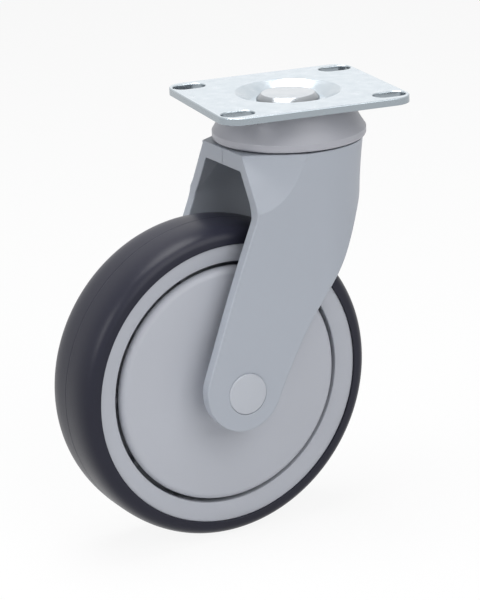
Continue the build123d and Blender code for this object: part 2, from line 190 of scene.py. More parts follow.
def empty_board(owner: bpy.types.Material | bpy.types.World) -> Board:
    """The node tree of a material or a world, with nothing in it.

    Args:
        owner: the material or world.

    Returns:
        Its board.
    """
    owner.use_nodes = True
    owner.node_tree.nodes.clear()
    return Board(owner.node_tree)


def grain_group() -> Group:
    """The fine grain and the broad cloudiness that every surface has.

    Returns:
        A group with Size and Cloud Size inputs, in waves per metre.
    """
    group = Group("surface grain", {"Size": 3000.0, "Cloud Size": 60.0}, ["Grain", "Cloud"])
    place_node = group.add("TexCoord")
    fine = group.add("TexNoise", {"Detail": 3.0}, noise_dimensions="3D")
    broad = group.add("TexNoise", {"Detail": 4.0, "Roughness": 0.55}, noise_dimensions="3D")
    for node, size, out in ((fine, "Size", "Grain"), (broad, "Cloud Size", "Cloud")):
        group.link(place_node.outputs["Object"], node.inputs["Vector"])
        group.link(group.source.outputs[size], node.inputs["Scale"])
        group.link(node.outputs["Fac"], group.sink.inputs[out])
    return group


def edge_highlight_group() -> Group:
    """Where a surface turns sharply, found from how far its rounded normal leans from its own:
    the mask of the painted edge highlight.

    Returns:
        A group with a Strength input, a Rounded normal input and an Edge output between 0 and 1.
    """
    group = Group("painted edge highlight", {"Strength": 1.0}, ["Edge"])
    group.socket("Rounded", "INPUT", "Vector")
    geometry = group.add("NewGeometry")
    lean = group.add("VectorMath", operation="DOT_PRODUCT")
    plain, turning = HIGHLIGHT_RANGE
    ramp = group.add("MapRange", {"From Min": plain, "From Max": turning}, clamp=True)
    scale = group.add("Math", operation="MULTIPLY")
    group.link(geometry.outputs["Normal"], lean.inputs[0])
    group.link(group.source.outputs["Rounded"], lean.inputs[1])
    group.link(lean.outputs["Value"], ramp.inputs["Value"])
    group.link(ramp.outputs["Result"], scale.inputs[0])
    group.link(group.source.outputs["Strength"], scale.inputs[1])
    group.link(scale.outputs[0], group.sink.inputs["Edge"])
    return group


def turning_group() -> Group:
    """Fine rings round the axle, as a mould's turned face leaves them.

    Returns:
        A group with a Spacing input in metres and a Rings output between 0 and 1.
    """
    group = Group("turned rings", {"Spacing": 0.0012}, ["Rings"])
    place_node = group.add("TexCoord")
    centre = group.add(
        "Mapping",
        {"Location": wheel_centre(), "Rotation": (0, 0, REST_SWIVEL)},
        vector_type="TEXTURE",
    )
    flat = group.add("VectorMath", {1: (1, 0, 1)}, operation="MULTIPLY")
    radius = group.add("VectorMath", operation="LENGTH")
    turns = group.add("Math", operation="DIVIDE")
    wave = group.add("Math", {1: 1.0}, operation="PINGPONG")
    group.link(place_node.outputs["Object"], centre.inputs["Vector"])
    group.link(centre.outputs["Vector"], flat.inputs[0])
    group.link(flat.outputs["Vector"], radius.inputs[0])
    group.link(radius.outputs["Value"], turns.inputs[0])
    group.link(group.source.outputs["Spacing"], turns.inputs[1])
    group.link(turns.outputs[0], wave.inputs[0])
    group.link(wave.outputs[0], group.sink.inputs["Rings"])
    return group


@dataclass
class Groups:
    """The shared shader groups, made once after the frame is loaded."""

    grain: Group = field(default_factory=grain_group)
    # The mask of the painted edge highlight.
    edge: Group = field(default_factory=edge_highlight_group)
    rings: Group = field(default_factory=turning_group)


# ------------------------------------------------------------------ finishes
@dataclass(frozen=True)
class Finish:
    """One surface finish, made from grain, cloudiness, a painted edge highlight, a painted shade
    on side faces and turned rings.

    Sizes are waves per metre, depths and edge_round are millimetres, and the side share is how
    much of the colour is left on side faces, as a painted shade.
    """

    name: str
    colour: Colour
    second_colour: Colour
    roughness: float
    roughness_spread: float = 0.08
    metallic: float = 0.0
    grain_size: float = 3500.0
    grain_depth: float = 0.02
    cloud_size: float = 55.0
    # How much lighter edges are painted: a painted highlight.
    painted_edge_highlight: float = 0.0
    edge_round: float = 0.5
    ring_spacing: float = 0.0
    ring_depth: float = 0.0
    specular: float = 0.5
    coat: float = 0.0
    # How much of the colour is left on side faces: a painted shade.
    side_shade_share: float = 1.0

    def make(self, groups: Groups) -> bpy.types.Material:
        """Build the material.

        Args:
            groups: the shared shader groups.

        Returns:
            The finished material.
        """
        material = bpy.data.materials.new(self.name)
        board = empty_board(material)
        output = board.add("OutputMaterial")
        shader = board.add(
            "BsdfPrincipled",
            {
                "Metallic": self.metallic,
                "Specular IOR Level": self.specular,
                "Coat Weight": self.coat,
            },
        )
        grain = board.add(
            "Group",
            {"Size": self.grain_size, "Cloud Size": self.cloud_size},
            node_tree=groups.grain.tree,
        )
        rounded = board.add("Bevel", {"Radius": self.edge_round * MM}, samples=ROUNDING_SAMPLES)
        rough = board.add(
            "MapRange",
            {
                "To Min": self.roughness - self.roughness_spread,
                "To Max": self.roughness + self.roughness_spread,
            },
        )
        board.link(grain.outputs["Cloud"], rough.inputs["Value"])
        board.link(rough.outputs["Result"], shader.inputs["Roughness"])
        board.link(self.base_colour(board, groups, grain, rounded), shader.inputs["Base Color"])
        board.link(self.normal(board, groups, grain, rounded), shader.inputs["Normal"])
        board.link(shader.outputs["BSDF"], output.inputs["Surface"])
        return material

    def base_colour(
        self,
        board: Board,
        groups: Groups,
        grain: bpy.types.Node,
        rounded: bpy.types.Node,
    ) -> bpy.types.NodeSocket:
        """The colour: clouded, then a painted shade on side faces, then a painted highlight on
        edges.

        Args:
            board: the material's nodes.
            groups: the shared shader groups.
            grain: the node that gives the clouds.
            rounded: the node that gives the rounded normal.

        Returns:
            The socket that gives the colour.
        """
        low, high = CLOUD_RANGE
        cloud = board.add("MapRange", {"From Min": low, "From Max": high})
        board.link(grain.outputs["Cloud"], cloud.inputs["Value"])

        # Painted shade: the colour darkens as a face's normal leans from upright towards a side
        # face.
        facing = board.add("NewGeometry")
        slope = board.add("SeparateXYZ")
        flat, steep = SHADE_FACING_RANGE
        upright = board.add("MapRange", {"From Min": flat, "From Max": steep})
        board.link(facing.outputs["Normal"], slope.inputs["Vector"])
        board.link(slope.outputs["Z"], upright.inputs["Value"])

        # Painted highlight: edges, found from the rounded normal, get a lighter colour.
        edge = board.add("Group", {"Strength": self.painted_edge_highlight}, node_tree=groups.edge.tree)
        board.link(rounded.outputs["Normal"], edge.inputs["Rounded"])

        # The darker colour of the painted shade on side faces.
        painted_shade_colour = tuple(part * self.side_shade_share for part in self.colour)
        # The lighter colour of the painted highlight on edges.
        highlight_colour = tuple(min(1.0, part * HIGHLIGHT_GAIN) for part in self.colour)
        result = None
        for share, over in (
            (cloud.outputs["Result"], self.second_colour),
            (upright.outputs["Result"], painted_shade_colour),
            (edge.outputs["Edge"], highlight_colour),
        ):
            mix = board.add("Mix", {"A": (*self.colour, 1), "B": (*over, 1)}, data_type="RGBA")
            board.link(share, mix.inputs["Factor"])
            if result is not None:
                board.link(result, mix.inputs["A"])
            result = mix.outputs["Result"]
        return result

    def normal(
        self,
        board: Board,
        groups: Groups,
        grain: bpy.types.Node,
        rounded: bpy.types.Node,
    ) -> bpy.types.NodeSocket:
        """The normal: rounded at edges, then with turned rings if it has them, then grained.

        Args:
            board: the material's nodes.
            groups: the shared shader groups.
            grain: the node that gives the grain.
            rounded: the node that gives the rounded normal.

        Returns:
            The socket that gives the normal.
        """
        reliefs = [(grain.outputs["Grain"], self.grain_depth)]
        if self.ring_spacing:
            spacing = {"Spacing": self.ring_spacing}
            rings = board.add("Group", spacing, node_tree=groups.rings.tree)
            reliefs.insert(0, (rings.outputs["Rings"], self.ring_depth))
        result = rounded.outputs["Normal"]
        for height, depth in reliefs:
            bump = board.add("Bump", {"Strength": 1.0, "Distance": depth * MM})
            board.link(height, bump.inputs["Height"])
            board.link(result, bump.inputs["Normal"])
            result = bump.outputs["Normal"]
        return result


# Each finish's edge number paints a highlight on its edges, and the plate's and the pin's side
# number paint shade on their side faces.
FORK_PLASTIC = Finish(
    "moulded_grey_fork",
    colour=(0.390, 0.419, 0.471),
    second_colour=(0.430, 0.459, 0.512),
    edge_round=0.6,
    specular=0.3,
    roughness=0.42,
    grain_depth=0.012,
    painted_edge_highlight=0.25,
)
COLLAR_PLASTIC = Finish(
    "moulded_grey_collar",
    colour=(0.401, 0.407, 0.448),
    second_colour=(0.448, 0.448, 0.483),
    roughness=0.38,
    specular=0.35,
    grain_depth=0.015,
    cloud_size=90.0,
    painted_edge_highlight=0.35,
)
WHEEL_PLASTIC = Finish(
    "moulded_grey_wheel",
    colour=(0.448, 0.465, 0.512),
    second_colour=(0.465, 0.483, 0.529),
    specular=0.35,
    roughness=0.40,
    grain_depth=0.010,
    painted_edge_highlight=0.25,
)
CAP_PLASTIC = Finish(
    "pale_cap",
    colour=(0.465, 0.488, 0.535),
    second_colour=(0.488, 0.512, 0.558),
    roughness=0.42,
    specular=0.35,
    grain_depth=0.010,
)
TYRE_RUBBER = Finish(
    "grey_blue_rubber",
    colour=(0.0186, 0.0192, 0.0314),
    second_colour=(0.0244, 0.0250, 0.0395),
    specular=0.2,
    roughness=0.34,
    roughness_spread=0.06,
    grain_size=5000.0,
    grain_depth=0.015,
    ring_spacing=0.0011,
    ring_depth=0.015,
)
PLATE_ZINC = Finish(
    "bright_zinc_plate",
    colour=(0.64, 0.72, 0.78),
    second_colour=(0.75, 0.81, 0.86),
    roughness=0.24,
    roughness_spread=0.10,
    metallic=0.95,
    side_shade_share=0.55,
    grain_size=1800.0,
    grain_depth=0.03,
    cloud_size=190.0,
    painted_edge_highlight=0.1,
    edge_round=0.25,
)
PIN_STEEL = Finish(
    "bright_pin_steel",
    colour=(0.64, 0.68, 0.72),
    second_colour=(0.72, 0.75, 0.78),
    roughness=0.22,
    metallic=1.0,
    side_shade_share=0.3,
    grain_size=2500.0,
    grain_depth=0.01,
    cloud_size=200.0,
)
RACE_STEEL = Finish(
    "hardened_race_steel",
    colour=(0.55, 0.56, 0.58),
    second_colour=(0.60, 0.61, 0.62),
    roughness=0.28,
    metallic=1.0,
)


# ------------------------------------------------------------------ modelling helpers
def linked_object(mesh_form: bmesh.types.BMesh, name: str) -> bpy.types.Object:
    """Turn a bmesh into an object of the scene.

    Args:
        mesh_form: the shape, in its place; it is freed here.
        name: the name of the object and its mesh.

    Returns:
        The new object.
    """
    mesh = bpy.data.meshes.new(name)
    mesh_form.to_mesh(mesh)
    mesh_form.free()
    made = bpy.data.objects.new(name, mesh)
    bpy.context.scene.collection.objects.link(made)
    return made


def weld(mesh_form: bmesh.types.BMesh) -> None:
    """Merge the points of a shape that lie on each other."""
    bmesh.ops.remove_doubles(mesh_form, verts=mesh_form.verts, dist=WELD)


def finish_piece(
    mesh_form: bmesh.types.BMesh,
    name: str,
    material: bpy.types.Material,
    body: str,
    stands_for: tuple[str, ...],
    crease: float = 24.0,
) -> bpy.types.Object:
    """Turn a finished bmesh into a piece of the castor.

    Args:
        mesh_form: the shape, in its place; it is freed here.
        name: the piece's name.
        material: its finish.
        body: the body that it moves with.
        stands_for: the solids that it replaces.
        crease: the least turn, in degrees, that shows as a sharp edge.

    Returns:
        The new object.
    """
    weld(mesh_form)
    bmesh.ops.recalc_face_normals(mesh_form, faces=mesh_form.faces)
    least = math.radians(crease)
    for face in mesh_form.faces:
        face.smooth = True
    for edge in mesh_form.edges:
        edge.smooth = len(edge.link_faces) != 2 or edge.calc_face_angle(0.0) < least
    piece = linked_object(mesh_form, name)
    piece.data.materials.append(material)
    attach(piece, body)
    if stands_for:
        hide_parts(*stands_for)
    log.info("%s: %d faces on %s", name, len(piece.data.polygons), body)
    return piece


def every_edge(edge: bmesh.types.BMEdge) -> bool:
    """The choice that rounds each sharp edge it is asked about."""
    return edge.is_valid


def soften(
    mesh_form: bmesh.types.BMesh,
    width: float,
    segments: int = 3,
    angle: float = 28.0,
    rounds: Callable[[bmesh.types.BMEdge], bool] = every_edge,
    clamp: bool = True,
) -> None:
    """Round the edges that turn by more than an angle.

    Args:
        mesh_form: the shape.
        width: how wide each rounding is.
        segments: how many faces it has across.
        angle: the least turn, in degrees, that is rounded.
        rounds: says of a sharp edge whether it is rounded.
        clamp: whether close edges make every rounding narrower.
    """
    weld(mesh_form)
    bmesh.ops.recalc_face_normals(mesh_form, faces=mesh_form.faces)
    least = math.radians(angle)
    sharp = [
        edge
        for edge in mesh_form.edges
        if len(edge.link_faces) == 2
        and edge.calc_face_angle(0.0) > least
        and rounds(edge)
    ]
    bmesh.ops.bevel(
        mesh_form,
        geom=sharp,
        offset=width,
        offset_type="OFFSET",
        affect="EDGES",
        segments=segments,
        profile=0.5,
        material=-1,
        clamp_overlap=clamp,
    )


def turned(
    profile: list[Point],
    line: Line,
    steps: int = 160,
    closed: bool = True,
) -> bmesh.types.BMesh:
    """Spin a profile round the swivel line or the axle.

    Args:
        profile: (radius, distance along the line) pairs in millimetres, in order.
        line: the line to spin about.
        steps: how many faces go round.
        closed: whether the last point joins the first.

    Returns:
        The shape, in its place.
    """
    mesh_form = bmesh.new()
    verts = [mesh_form.verts.new((radius * MM, 0, along * MM)) for radius, along in profile]
    pairs = list(zip(verts, verts[1:]))
    if closed:
        pairs.append((verts[-1], verts[0]))
    edges = [mesh_form.edges.new(pair) for pair in pairs]
    bmesh.ops.spin(
        mesh_form,
        geom=verts + edges,
        cent=(0, 0, 0),
        axis=(0, 0, 1),
        angle=math.tau,
        steps=steps,
        use_merge=True,
        use_duplicate=False,
    )
    weld(mesh_form)
    bmesh.ops.transform(mesh_form, matrix=place(line), verts=mesh_form.verts)
    return mesh_form


def quarter(steps: int) -> list[float]:
    """The angles of a quarter turn, ends included.

    Args:
        steps: how many parts the quarter has.

    Returns:
        The angles in radians, from 0.
    """
    return [step / steps * math.pi / 2 for step in range(steps + 1)]


def mirrored(profile: list[Point]) -> list[Point]:
    """A half profile's other half, in the order that carries on from its end."""
    return [(radius, -along) for radius, along in reversed(profile)]


def sided(profile: list[Point], side: Side) -> list[Point]:
    """A profile put on one side of the wheel."""
    return [(radius, along * side.value) for radius, along in profile]


def curve_points(points: list[Point], steps: int) -> list[Point]:
    """A smooth run through a few points, by Catmull-Rom.

    Args:
        points: the points to pass through.
        steps: how many parts each stretch gets.

    Returns:
        The run's points, ends included.
    """
    run: list[Point] = []
    padded = [points[0], *points, points[-1]]
    for index in range(len(points) - 1):
        before, start, end, after = (Vector(p) for p in padded[index : index + 4])
        for step in range(steps):
            t = step / steps
            spot = 0.5 * (
                2 * start
                + (end - before) * t
                + (2 * before - 5 * start + 4 * end - after) * t * t
                + (3 * start - before - 3 * end + after) * t * t * t
            )
            run.append((spot.x, spot.y))
    run.append(points[-1])
    return run


def from_solid(node: bpy.types.Object) -> bmesh.types.BMesh:
    """A merged copy of a solid's mesh.

    Args:
        node: the solid's object, which is left alone.

    Returns:
        The copy.
    """
    mesh_form = bmesh.new()
    mesh_form.from_mesh(node.data)
    weld(mesh_form)
    return mesh_form


def carved(mesh_form: bmesh.types.BMesh, cutter: bmesh.types.BMesh) -> bmesh.types.BMesh:
    """Cut one shape out of another.

    Args:
        mesh_form: the shape to cut, which is freed.
        cutter: the shape to take away, which is freed.

    Returns:
        The cut shape.
    """
    blank = linked_object(mesh_form, "carved blank")
    tool = linked_object(cutter, "carving tool")
    cut = blank.modifiers.new("cut", "BOOLEAN")
    cut.operation = "DIFFERENCE"
    cut.solver = "EXACT"
    cut.object = tool
    bpy.context.view_layer.update()
    seen = blank.evaluated_get(bpy.context.evaluated_depsgraph_get())
    result = bmesh.new()
    result.from_mesh(seen.to_mesh())
    seen.to_mesh_clear()
    for helper in (blank, tool):
        mesh = helper.data
        bpy.data.objects.remove(helper)
        bpy.data.meshes.remove(mesh)
    return result


# ------------------------------------------------------------------ sub-assemblies
@dataclass
class SwivelHead:
    """The plate, the pin and the dust cover, which stay with what the castor carries.

    Lengths are in millimetres, and heights are from the plate's mounting face.
    """

    pin_head_radius: float = 12.2
    pin_flat_radius: float = 10.2
    pin_top: float = -0.7
    pin_foot: float = -3.6
    pin_radius: float = 6.0
    pin_end: float = -42.3
    pin_chamfer: float = 2.0
    pin_edge: float = 0.3
    cover_top: float = -2.8
    cover_neck_radius: float = 24.6
    cover_mouth_radius: float = 21.3
    cover_waist: Point = (26.6, -9.0)
    cover_radius: float = 29.7
    cover_skirt_top: float = -14.4
    cover_foot: float = -17.4
    cover_wall: float = 2.4
    cover_foot_round: float = 0.9
    cover_foot_corner: float = 0.3
    cover_hollow_edge: float = -12.9
    cover_hollow_radius: float = 23.0
    cover_web_foot: float = -8.2
    cover_web_top: float = -6.4
    cover_web_radius: float = 15.3
    cover_bore: float = 6.02
    flank_steps: int = 10

    def build(self, nodes: Solids, finishes: Materials) -> None:
        """Make the head's pieces.

        Args:
            nodes: the solids by name.
            finishes: the materials by name.
        """
        self.make_plate(nodes, finishes["zinc"])
        self.make_pin(finishes["pin"])
        self.make_cover(finishes["collar"])

    def make_plate(self, nodes: Solids, zinc: bpy.types.Material) -> None:
        """The pressed plate, in its solid's form."""
        plate = from_solid(nodes["top_plate"])
        finish_piece(plate, "pressed_plate", zinc, "mount", ("top_plate",))

    def make_pin(self, steel: bpy.types.Material) -> None:
        """The pin, with its chamfered head."""
        pin = turned(
            [
                (0, self.pin_top),
                (self.pin_flat_radius, self.pin_top),
                (self.pin_head_radius, self.pin_top - self.pin_chamfer),
                (self.pin_head_radius, self.pin_foot),
                (self.pin_radius, self.pin_foot),
                (self.pin_radius, self.pin_end),
                (0, self.pin_end),
            ],
            Line.SWIVEL,
            closed=False,
        )
        soften(pin, self.pin_edge * MM)
        finish_piece(pin, "swivel_pin", steel, "mount", ("king_pin",))

    def make_cover(self, plastic: bpy.types.Material) -> None:
        """The waisted collar under the plate."""
        flank = curve_points(
            [
                (self.cover_neck_radius, self.cover_top),
                self.cover_waist,
                (self.cover_radius, self.cover_skirt_top),
            ],
            self.flank_steps,
        )
        inside = self.cover_radius - self.cover_wall
        cover = turned(
            [
                *flank,
                (self.cover_radius, self.cover_foot + self.cover_foot_round),
                (
                    self.cover_radius - self.cover_foot_corner,
                    self.cover_foot + self.cover_foot_corner,
                ),
                (self.cover_radius - self.cover_foot_round, self.cover_foot),
                (inside, self.cover_foot),
                (inside, self.cover_hollow_edge),
                (self.cover_hollow_radius, self.cover_web_foot),
                (self.cover_bore, self.cover_web_foot),
                (self.cover_bore, self.cover_web_top),
                (self.cover_web_radius, self.cover_web_top),
                (self.cover_mouth_radius, self.cover_top),
            ],
            Line.SWIVEL,
        )
        finish_piece(cover, "dust_collar", plastic, "mount", ("dust_cover",))


@dataclass
class Wheel:
    """The wheel: rim, web and hub in one moulding, with its tyre.

    Lengths are in millimetres, and widths are from the wheel's middle plane.
    """

    rim_radius: float = 55.6
    rim_half_width: float = 15.2
    rim_inner_radius: float = 48.3
    rim_inner_half_width: float = 13.4
    key_radius: float = 57.6
    key_half_width: float = 9.0
    key_foot_half_width: float = 10.0
    tread_radius: float = 62.5
    tread_half_width: float = 16.0
    tread_fullness: float = 3.08
    tread_steps: int = 24
    tyre_inset: float = 0.1
    crown_half_width: float = 0.45
    seam_half_width: float = 0.25
    seam_foot_half_width: float = 0.1
    seam_depth: float = 0.07
    hub_radius: float = 16.0
    hub_half_width: float = 13.4
    bearing_radius: float = 11.02
    bearing_seat: float = 6.2
    bore_radius: float = 9.1
    web_half_width: float = 2.4
    rib_count: int = 10
    rib_thickness: float = 2.2
    rib_height: float = 12.0
    rib_overlap: float = 2.0
    core_edge: float = 0.35

    def build(self, nodes: Solids, finishes: Materials) -> None:
        """Make the rim and the tyre.

        Args:
            nodes: the solids by name; not used.
            finishes: the materials by name.
        """
        self.make_tyre(finishes["rubber"])
        self.make_core(finishes["wheel"])

    def make_tyre(self, rubber: bpy.types.Material) -> None:
        """The tyre, with full shoulders and a fine mould seam round its middle."""
        power = 2 / self.tread_fullness
        height = self.tread_radius - self.rim_radius
        shoulder = [
            (
                self.rim_radius + height * max(math.sin(angle), 0) ** power,
                self.tread_half_width * max(math.cos(angle), 0) ** power,
            )
            for angle in quarter(self.tread_steps)
        ]
        seam_foot = self.tread_radius - self.seam_depth
        half = [
            (self.rim_radius, self.rim_half_width - self.tyre_inset),
            *shoulder[:-1],
            (self.tread_radius, self.crown_half_width),
            (self.tread_radius, self.seam_half_width),
            (seam_foot, self.seam_foot_half_width),
            (seam_foot, 0.0),
        ]
        inner = [
            (self.rim_radius, -self.key_foot_half_width),
            (self.key_radius, -self.key_half_width),
            (self.key_radius, self.key_half_width),
            (self.rim_radius, self.key_foot_half_width),
        ]
        tyre = turned([*half, *mirrored(half[:-1]), *inner], Line.AXLE, steps=224)
        finish_piece(tyre, "rubber_tyre", rubber, "wheel", ("tyre",))

    def make_core(self, plastic: bpy.types.Material) -> None:
        """The wheel's moulding, with ribs between hub and rim."""
        half = [
            (self.bore_radius, self.bearing_seat),
            (self.bearing_radius, self.bearing_seat),
            (self.bearing_radius, self.hub_half_width),
            (self.hub_radius, self.hub_half_width),
            (self.hub_radius, self.web_half_width),
            (self.rim_inner_radius, self.web_half_width),
            (self.rim_inner_radius, self.rim_inner_half_width),
            (self.rim_radius, self.rim_half_width),
            (self.rim_radius, self.key_foot_half_width),
            (self.key_radius, self.key_half_width),
        ]
        core = turned([*half, *mirrored(half)], Line.AXLE, steps=192)
        soften(core, self.core_edge * MM)
        middle = (self.hub_radius + self.rim_inner_radius) / 2 * MM
        length = self.rim_inner_radius - self.hub_radius + self.rib_overlap
        size = (length, self.rib_thickness, self.rib_height)
        stretch = Matrix.Diagonal((*(side * MM for side in size), 1))
        for index in range(self.rib_count):
            spoke = Matrix.Rotation(math.tau * index / self.rib_count, 4, "Z")
            spot = place(Line.AXLE) @ spoke @ Matrix.Translation((middle, 0, 0))
            bmesh.ops.create_cube(core, size=1.0, matrix=spot @ stretch)
        finish_piece(core, "wheel_moulding", plastic, "wheel", ("wheel_core",))


@dataclass
class ForkAssembly:
    """The moulded fork with its discs and caps, which swivel together.

    Lengths are in millimetres, and angles in degrees. The front face is measured from the
    swivel line, and the disc, hub and cap sizes from the wheel's middle plane.
    """

    front_face: float = 29.6
    head_top: float = -18.1
    corner_half_width: float = 15.3
    scallop_drop: float = 1.0
    scallop_slope: float = 0.66
    scallop_stretch: float = 1.12
    scallop_depth: float = 24.0
    scallop_faces: int = 160
    near_points: float = 0.15
    thin_faces: float = 0.10
    flat_angle: float = 0.5
    edge_width: float = 0.42
    edge_angle: float = 30.0
    crease_angle: float = 12.0
    sharp_rim: float = 1.6
    sharp_seat: float = 1.0
    seam_top: float = 2.0
    seam_length: float = 12.0
    seam_width: float = 0.3
    seam_depth: float = 0.2
    guard_radius: float = 46.6
    guard_face: float = 15.6
    guard_wall: float = 1.8
    guard_edge: float = 12.0
    guard_round: float = 2.8
    guard_round_steps: int = 8
    guard_foot_rise: float = 0.9
    guard_foot_inset: float = 2.7
    guard_hub_radius: float = 11.0
    guard_bore: float = 4.02
    guard_seat: float = 13.2
    guard_seat_radius: float = 5.9
    hub_half_length: float = 20.0
    cap_radius: float = 8.0
    cap_seat: float = 27.9
    cap_thickness: float = 1.5
    cap_crown_inset: float = 1.0
    cap_shoulder: Point = (0.25, 0.12)
    cap_side_drop: float = 0.5

    def build(self, nodes: Solids, finishes: Materials) -> None:
        """Make the fork's pieces.

        Args:
            nodes: the solids by name.
            finishes: the materials by name.
        """
        self.make_fork(nodes, finishes["fork"])
        for side in Side:
            self.make_guard(side, finishes["wheel"])
            self.make_cap(side, finishes["cap"])

    def rounds(self, edge: bmesh.types.BMEdge) -> bool:
        """Whether an edge of the housing is rounded.

        Args:
            edge: one of the housing's sharp edges.

        Returns:
            False on the top rim and round the axle, where the edge stays sharp.
        """
        middle = (edge.verts[0].co + edge.verts[1].co) / 2
        from_axle = (place(Line.AXLE).inverted() @ middle).xy.length
        on_rim = middle.z > (self.head_top - self.sharp_rim) * MM
        return not on_rim and from_axle > (self.cap_radius + self.sharp_seat) * MM

    def scallop(self, side: Side) -> bmesh.types.BMesh:
        """The cone that cuts one front corner.

        Args:
            side: the corner's side.

        Returns:
            The cone, in its place.
        """
        cone = bmesh.new()
        reach = self.scallop_depth * MM
        stretch = Matrix.Diagonal((1, self.scallop_stretch, 1, 1))
        bmesh.ops.create_cone(
            cone,
            cap_ends=True,
            segments=self.scallop_faces,
            radius1=0.0,
            radius2=reach / self.scallop_slope,
            depth=reach,
            matrix=stretch @ Matrix.Translation((0, 0, reach / 2)),
        )
        along = self.corner_half_width * side.value
        corner = Vector((-self.front_face, along, self.head_top - self.scallop_drop)) * MM
        outward = Matrix.Rotation(-math.pi / 2 * side.value, 4, "X")
        spot = place(Line.SWIVEL) @ Matrix.Translation(corner) @ outward
        bmesh.ops.transform(cone, matrix=spot, verts=cone.verts)
        return cone

    def parting_groove(self) -> bmesh.types.BMesh:
        """The thin box that cuts the mould's parting line down the front face."""
        groove = bmesh.new()
        size = (2 * self.seam_depth, self.seam_width, self.seam_length)
        stretch = Matrix.Diagonal((*(side * MM for side in size), 1))
        middle = Vector((-self.front_face, 0, self.head_top - self.seam_top)) * MM
        spot = place(Line.SWIVEL) @ Matrix.Translation(middle)
        bmesh.ops.create_cube(groove, size=1.0, matrix=spot @ stretch)
        return groove

    def make_fork(self, nodes: Solids, plastic: bpy.types.Material) -> None:
        """The housing, with a round scallop in each front corner and a parting groove."""
        fork = from_solid(nodes["fork"])
        for side in Side:
            fork = carved(fork, self.scallop(side))
        bmesh.ops.remove_doubles(fork, verts=fork.verts, dist=self.near_points * MM)
        bmesh.ops.dissolve_degenerate(fork, dist=self.thin_faces * MM, edges=fork.edges)
        bmesh.ops.dissolve_limit(
            fork,
            angle_limit=math.radians(self.flat_angle),
            verts=fork.verts,
            edges=fork.edges,
        )
        soften(
            fork,
            self.edge_width * MM,
            segments=2,
            angle=self.edge_angle,
            rounds=self.rounds,
            clamp=False,
        )
        fork = carved(fork, self.parting_groove())
        finish_piece(
            fork,
            "fork_housing",
            plastic,
            "fork",
            ("fork",),
            self.crease_angle,
        )

    def make_guard(self, side: Side, plastic: bpy.types.Material) -> None:
        """The round disc beside the wheel."""
        inner = self.guard_face - self.guard_wall
        arc = [
            (
                self.guard_radius - self.guard_round * (1 - math.sin(angle)),
                self.guard_face - self.guard_round * (1 - math.cos(angle)),
            )
            for angle in quarter(self.guard_round_steps)
        ]
        profile = [
            (self.guard_bore, self.guard_seat),
            (self.guard_bore, self.hub_half_length),
            (self.guard_hub_radius, self.hub_half_length),
            (self.guard_hub_radius, self.guard_face),
            *arc,
            (self.guard_radius, self.guard_edge),
            (self.guard_radius - self.guard_wall, self.guard_edge),
            (self.guard_radius - self.guard_wall, inner - self.guard_foot_rise),
            (self.guard_radius - self.guard_foot_inset, inner),
            (self.guard_seat_radius, inner),
            (self.guard_seat_radius, self.guard_seat),
        ]
        guard = turned(sided(profile, side), Line.AXLE, steps=192)
        name = side.name.lower()
        finish_piece(
            guard,
            f"wheel_disc_{name}",
            plastic,
            "fork",
            (f"thread_guard_{name}",),
        )

    def make_cap(self, side: Side, plastic: bpy.types.Material) -> None:
        """The cap over the axle's end, a little domed."""
        top = self.cap_seat + self.cap_thickness
        inset, drop = self.cap_shoulder
        profile = [
            (0, top),
            (self.cap_radius - self.cap_crown_inset, top),
            (self.cap_radius - inset, top - drop),
            (self.cap_radius, top - self.cap_side_drop),
            (self.cap_radius, self.cap_seat),
            (0, self.cap_seat),
        ]
        cap = turned(sided(profile, side), Line.AXLE, steps=96, closed=False)
        name = side.name.lower()
        finish_piece(
            cap,
            f"end_cap_{name}",
            plastic,
            "fork",
            (f"axle_cap_{name}",),
        )


# ------------------------------------------------------------------ studio
def seen_directly(board: Board) -> bpy.types.NodeSocket:
    """A mask of the rays that see a surface straight, in gloss or through glass.

    Args:
        board: the nodes of the floor's material or of the world.

    Returns:
        A socket that gives 1 on those rays, and 0 on the light that falls on the castor.
    """
    path = board.add("LightPath")
    mask = path.outputs["Is Camera Ray"]
    for kind in ("Is Glossy Ray", "Is Transmission Ray"):
        either = board.add("Math", operation="MAXIMUM")
        board.link(mask, either.inputs[0])
        board.link(path.outputs[kind], either.inputs[1])
        mask = either.outputs[0]
    return mask


